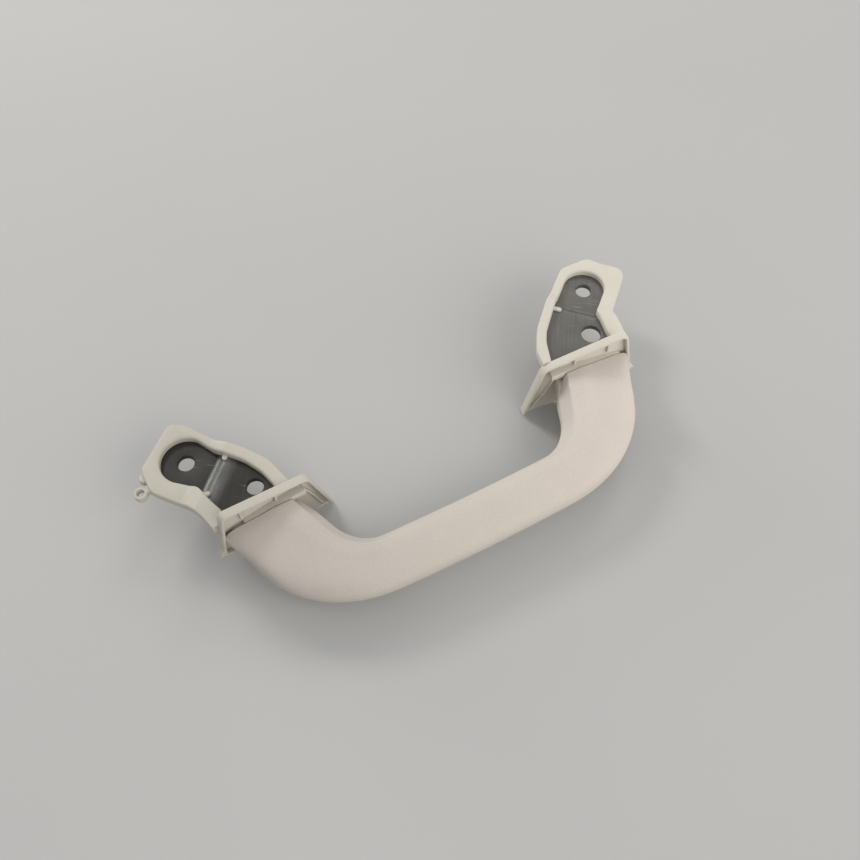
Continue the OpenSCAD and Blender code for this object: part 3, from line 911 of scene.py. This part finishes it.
class HANDLE_OT_rear_moulding(bpy.types.Operator):
    """Build the rear moulding: both pads, both collars and the rear of the grip"""

    bl_idname = "handle.rear_moulding"
    bl_label = "Rear moulding"

    def execute(self, context):
        r = context.scene.handle.edge_round / MM
        whole = bmesh.new()
        for end in ("right", "left"):
            side = bmesh.new()
            add_mesh(side, self.pad(end, r))
            add_mesh(side, self.collar(end, r))
            for x, y, turn in TABS[end]:
                add_mesh(side, self.tab(x, y, turn))
            if end == "left":
                add_mesh(side, self.lugs())
                mirrored(side)
            add_mesh(whole, side)
        add_mesh(whole, self.grip())
        finish_mesh(whole, 34)
        obj = mesh_object("rear_moulding_skin", whole)
        obj.data.materials.append(materials()["moulding"])
        take_over(obj, "rear_moulding")
        return {"FINISHED"}

    def pad(self, end, r):
        """The pad's border round its opening, bent over the joggle and cut off at the collar."""
        low, high = STEEL - LET_IN, STEEL + BORDER
        bm = slab(rounded(PADS[end], PAD_ROUND), [opening(end)], low, high, r, 1.0, hole_r=OPENING_ROUND)
        slice_across(bm, AXIS, bend_stops(BORDER_CREASE - BORDER_RUN / 2, BORDER_RUN))
        for v in bm.verts:
            v.co.z += border_rise(v.co)
            v.co.x += PITCH / 2
        cut_off(bm, wall_point(0.2), WALL_NORMAL)
        return bm

    def collar(self, end, r):
        """The wall across the leg with its lips, the spur and the box under the ribs."""
        bm = bmesh.new()
        wall = bent(COLLAR[:4], 4) + [Vector(COLLAR[4]), Vector(COLLAR[5])]
        # The wall stays inside the lips and above their backs, so that no two faces coincide
        add_mesh(bm, slab(shifted(wall, WALL_INSET), [], WALL_RAISE, COLLAR_T, 0.2, 1.2))
        front = COLLAR_T + LIP_H + LIP_OVER
        add_mesh(bm, self.outer_lip(front, min(r, 0.45 * COLLAR_T)))
        add_mesh(bm, slab([Vector(q) for q in SPUR], [], 0.3, front - 0.6, 0.4, 1.0, 0.3))
        add_mesh(bm, self.box(end))
        add_mesh(bm, self.inner_lip(end))
        bmesh.ops.transform(bm, matrix=collar_matrix(), verts=bm.verts)
        return bm

    def outer_lip(self, front, r):
        """The lip along the wing, the top and the leg's end, round which it turns."""
        foot = Vector(COLLAR[3]).lerp(Vector(COLLAR[4]), LIP_END)
        outer = bent(inset(COLLAR, 0)[:4] + [foot], 4)
        inner = bent(inset(COLLAR, COLLAR_T)[:4] + [foot + Vector((-0.5, COLLAR_T))], 3)
        return slab(outer + list(reversed(inner)), [], 0, front, r, 1.0, r * 0.6)

    def box(self, end):
        """A low box under the ribs, from the wall to the cover's end."""
        sides = (BOX_LEFT, BOX_RIGHT[end])
        edge = LEG_HW + END_X - COLLAR_AT[0]
        slant = [COVER_FRONT + COVER_SLANT * (edge - x) - BOX_SHORT for x in sides]
        plan = [(sides[0], slant[0]), (sides[1], slant[1]), (sides[1], BOX_SINK), (sides[0], BOX_SINK)]
        bm = slab([Vector(q) for q in plan], [], BOX_LOW, BOX_TOP, 0.4, 1.0)
        for v in bm.verts:
            v.co = (v.co.x, v.co.z, v.co.y)
        return bm

    def inner_lip(self, end):
        """The wing's inner lip, wide of the outer one at the right end and beside it at the left."""
        line = bent(INNER_LIP[end], INNER_LIP_BEND, 10)
        along = [(q - p).normalized() for p, q in zip(line, line[1:] + [2 * line[-1] - line[-2]])]
        side = [q + INNER_LIP_T * Vector((d.y, -d.x)) for q, d in zip(line, along)]
        return slab(line + list(reversed(side)), [], 0.2, COLLAR_T + INNER_LIP_H, 0.45, 1.0, 0.2)

    def tab(self, x, y, turn):
        """A small tab with a round nose, lying on the raised steel."""
        turns = [math.pi / 2 - math.pi * k / 12 for k in range(1, 12)]
        nose = [Vector((TAB_NOSE + TAB_HW * math.cos(t), TAB_HW * math.sin(t))) for t in turns]
        tail = [Vector((-TAB_TAIL, -TAB_HW)), Vector((-TAB_TAIL, TAB_HW)), Vector((TAB_NOSE, TAB_HW))]
        top = STEEL + JOGGLE
        bm = slab(tail + nose + [Vector((TAB_NOSE, -TAB_HW))], [], top - 0.2, top + TAB_TOP, 0.5, 0.6)
        return self.set_at(bm, x, y, turn)

    def lugs(self):
        """The two small lugs at the left pad's outer corner, one of them with an eye."""
        low, high = STEEL - LET_IN, STEEL - LET_IN + BORDER
        bm = slab(circle(EYE_AT, EYE_OUTER_R, 36), [circle(EYE_AT, EYE_R, 28)], low, high, 0.4, 0.8)
        plan = [Vector(q) for q in ((0, 0), (0, BRIDGE_W), (BRIDGE_LEN, BRIDGE_W), (BRIDGE_LEN, 0))]
        add_mesh(bm, self.set_at(slab(plan, [], low, high, 0.4, 0.8), *BRIDGE_AT, BRIDGE_TURN))
        add_mesh(bm, slab(circle(PEG_AT, PEG_R, 30), [], low, high, 0.5, 0.8))
        return bm

    def set_at(self, bm, x, y, turn):
        """Turns a small form in plan and moves it to its place."""
        place_at = Matrix.Translation((x, y, 0)) @ Matrix.Rotation(rad(turn), 4, "Z")
        bmesh.ops.transform(bm, matrix=place_at, verts=bm.verts)
        return bm

    def grip(self):
        """The rear half of the grip, which ends inside both collars' walls."""
        bm = bmesh.new()
        last = rear_section(HALF_LEN)
        rings = [end_ring(-1, last, COLLAR_T / 2)]
        for s in stops([-16, -12, -NECK_LEN, 0.6 - NECK_LEN, -3]):
            rings.append([station(s, *q) for q in rear_section(s)])
        rings.append(end_ring(1, last, COLLAR_T / 2))
        loft(bm, rings)
        bmesh.ops.transform(bm, matrix=grip_matrix(), verts=bm.verts)
        return bm


class HANDLE_OT_front_cover(bpy.types.Operator):
    """Build the front cover of the grip"""

    bl_idname = "handle.front_cover"
    bl_label = "Front cover"

    def execute(self, context):
        width = context.scene.handle.ridge / MM
        bm = bmesh.new()
        rings = [[station(s, *q) for q in cover_section(s, width)] for s in stops([-26, -20, -15])]
        # The last rings lie along the collar and round the end's edge
        for back, shrink in COVER_EDGE:
            section = cover_section(HALF_LEN - COVER_GAP, width, shrink)
            rings.insert(0, end_ring(-1, section, COVER_FRONT + back, COVER_SLANT))
            rings.append(end_ring(1, section, COVER_FRONT + back, COVER_SLANT))
        loft(bm, rings)
        bmesh.ops.transform(bm, matrix=grip_matrix(), verts=bm.verts)
        finish_mesh(bm, 32)
        obj = mesh_object("front_cover_skin", bm)
        obj.data.materials.append(materials()["cover"])
        take_over(obj, "front_cover")
        return {"FINISHED"}


def rib_tree():
    """Geometry nodes that set one small rib at each point, turned as the collar is."""
    tree = bpy.data.node_groups.new("Collar ribs", "GeometryNodeTree")
    tree.interface.new_socket("Geometry", in_out="INPUT", socket_type="NodeSocketGeometry")
    for label, size in (("Rib width", RIB_T), ("Rib length", RIB_LEN), ("Rib height", RIB_H)):
        socket = tree.interface.new_socket(label, in_out="INPUT", socket_type="NodeSocketFloat")
        socket.default_value = size * MM
        socket.subtype = "DISTANCE"
    tree.interface.new_socket("Turn", in_out="INPUT", socket_type="NodeSocketRotation")
    tree.interface.new_socket("Material", in_out="INPUT", socket_type="NodeSocketMaterial")
    tree.interface.new_socket("Geometry", in_out="OUTPUT", socket_type="NodeSocketGeometry")
    n = Nodes(tree)
    given = n.add("NodeGroupInput").outputs
    size = n.add("ShaderNodeCombineXYZ",
                 {0: given["Rib width"], 1: given["Rib length"], 2: given["Rib height"]})
    cube = n.add("GeometryNodeMeshCube",
                 {"Size": size.outputs[0], "Vertices X": 3, "Vertices Y": 5, "Vertices Z": 4})
    points = n.add("GeometryNodeMeshToPoints", {"Mesh": given["Geometry"]})
    spread = n.add("GeometryNodeInstanceOnPoints",
                   {"Points": points.outputs[0], "Instance": cube.outputs["Mesh"],
                    "Rotation": given["Turn"]})
    real = n.add("GeometryNodeRealizeInstances", {0: spread.outputs[0]})
    painted = n.add("GeometryNodeSetMaterial",
                    {"Geometry": real.outputs[0], "Material": given["Material"]})
    n.add("NodeGroupOutput", {"Geometry": painted.outputs[0]})
    return tree


class HANDLE_OT_collar_ribs(bpy.types.Operator):
    """Set the small ribs across the groove of each collar"""

    bl_idname = "handle.collar_ribs"
    bl_label = "Collar ribs"

    def execute(self, context):
        tree = rib_tree()
        names = {i.name: i.identifier for i in tree.interface.items_tree if i.in_out == "INPUT"}
        moulding = materials()["moulding"]
        # The ribs stand in the groove, which slants across the collar
        centres = [Vector((x + RIB_T / 2, x * RIB_SLOPE + RIB_Y, RIB_H / 2)) for x in RIBS]
        bm = bmesh.new()
        for side in (1, -1):
            to_end = Matrix.Scale(side, 4, (1, 0, 0)) @ collar_matrix()
            mesh = bpy.data.meshes.new("rib points")
            mesh.from_pydata([to_end @ c * MM for c in centres], [], [])
            points = bpy.data.objects.new("rib_points", mesh)
            context.scene.collection.objects.link(points)
            tilt = Matrix.Rotation(rad(90 - COLLAR_TILT), 4, "X")
            turn = Matrix.Rotation(rad(-COLLAR_TURN * side), 4, "Z") @ tilt
            modifier = points.modifiers.new("Ribs", "NODES")
            modifier.node_group = tree
            modifier[names["Turn"]] = tuple(turn.to_euler())
            modifier[names["Material"]] = moulding
            context.view_layer.update()
            evaluated = points.evaluated_get(context.evaluated_depsgraph_get())
            bm.from_mesh(bpy.data.meshes.new_from_object(evaluated))
            points.modifiers.clear()
            bpy.data.objects.remove(points)
        bmesh.ops.recalc_face_normals(bm, faces=bm.faces)
        obj = mesh_object("collar_ribs", bm)
        obj.data.materials.append(moulding)
        bevel = obj.modifiers.new("Soft edges", "BEVEL")
        bevel.width = RIB_EDGE * MM
        bevel.segments = 2
        bevel.limit_method = "ANGLE"
        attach(obj, "root")
        return {"FINISHED"}


class HANDLE_OT_stage(bpy.types.Operator):
    """Set the floor, the lamps and the camera"""

    bl_idname = "handle.stage"
    bl_label = "Stage"

    def execute(self, context):
        s = context.scene.stage
        scene = context.scene
        scene.view_settings.view_transform = "Standard"
        bpy.ops.mesh.primitive_plane_add(size=FLOOR_SIZE, location=(0, 0, CAD_BOX[0][2]))
        floor = context.object
        floor.name = "floor"
        floor.data.transform(floor.matrix_world)
        floor.matrix_world = Matrix.Identity(4)
        mat = bpy.data.materials.new("Pale floor")
        mat.use_nodes = True
        n = Nodes(mat.node_tree)
        shader = mat.node_tree.nodes["Principled BSDF"]
        where = n.add("ShaderNodeTexCoord").outputs["Object"]
        cloud = n.add("ShaderNodeTexNoise", {"Vector": where, "Scale": 5.0, "Detail": 4.0})
        tone = n.mix(cloud.outputs["Fac"], shade(s.floor, 0.97), shade(s.floor, 1.03))
        n.put(shader.inputs["Base Color"], tone)
        shader.inputs["Roughness"].default_value = 0.9
        shader.inputs["Specular IOR Level"].default_value = 0.1
        floor.data.materials.append(mat)
        for name, at, size, share, colour in LAMPS:
            self.lamp(name, at, size, s.key * share, colour)
        world = bpy.data.worlds.new("Soft studio")
        scene.world = world
        world.use_nodes = True
        back = world.node_tree.nodes["Background"]
        back.inputs["Color"].default_value = (0.965, 0.985, 1.0, 1)
        back.inputs["Strength"].default_value = s.fill
        self.camera(scene)
        return {"FINISHED"}

    def lamp(self, name, at, size, power, colour):
        """A round soft lamp that looks at the handle."""
        data = bpy.data.lights.new(name, "AREA")
        data.shape = "DISK"
        data.size = size
        data.energy = power
        data.color = colour
        obj = bpy.data.objects.new(name, data)
        bpy.context.scene.collection.objects.link(obj)
        obj.location = at
        obj.rotation_euler = (Vector(LOOK_AT) - Vector(at)).to_track_quat("-Z", "Y").to_euler()

    def camera(self, scene):
        """The camera at the photo's angle."""
        data = bpy.data.cameras.new("Camera")
        data.sensor_fit = "HORIZONTAL"
        data.sensor_width = CAMERA_SENSOR
        data.lens = CAMERA_LENS
        data.clip_start = 0.01
        camera = bpy.data.objects.new("Camera", data)
        scene.collection.objects.link(camera)
        turn = Matrix((CAMERA_RIGHT, CAMERA_UP, CAMERA_BACK)).transposed().to_4x4()
        camera.matrix_world = Matrix.Translation(Vector(CAMERA_AT) * MM) @ turn
        scene.camera = camera


class HANDLE_PT_panel(bpy.types.Panel):
    """The handle's pieces and settings"""

    bl_idname = "HANDLE_PT_panel"
    bl_label = "Roof grab handle"
    bl_space_type = "VIEW_3D"
    bl_region_type = "UI"
    bl_category = "Handle"

    def draw(self, context):
        layout = self.layout
        for group in (context.scene.handle, context.scene.stage):
            for key in group.__annotations__:
                layout.prop(group, key)
        for step in STEPS:
            layout.operator(step.bl_idname)


STEPS = (HANDLE_OT_stage, HANDLE_OT_strap, HANDLE_OT_rear_moulding, HANDLE_OT_front_cover,
         HANDLE_OT_collar_ribs)
CLASSES = (HandleSettings, StageSettings) + STEPS + (HANDLE_PT_panel,)


def register():
    for c in CLASSES:
        bpy.utils.register_class(c)
    bpy.types.Scene.handle = PointerProperty(type=HandleSettings)
    bpy.types.Scene.stage = PointerProperty(type=StageSettings)


def unregister():
    del bpy.types.Scene.handle
    del bpy.types.Scene.stage
    for c in reversed(CLASSES):
        bpy.utils.unregister_class(c)


def main():
    register()
    bpy.ops.handle.stage()
    bpy.ops.handle.strap()
    bpy.ops.handle.rear_moulding()
    bpy.ops.handle.front_cover()
    bpy.ops.handle.collar_ribs()


if __name__ == "__main__":
    main()
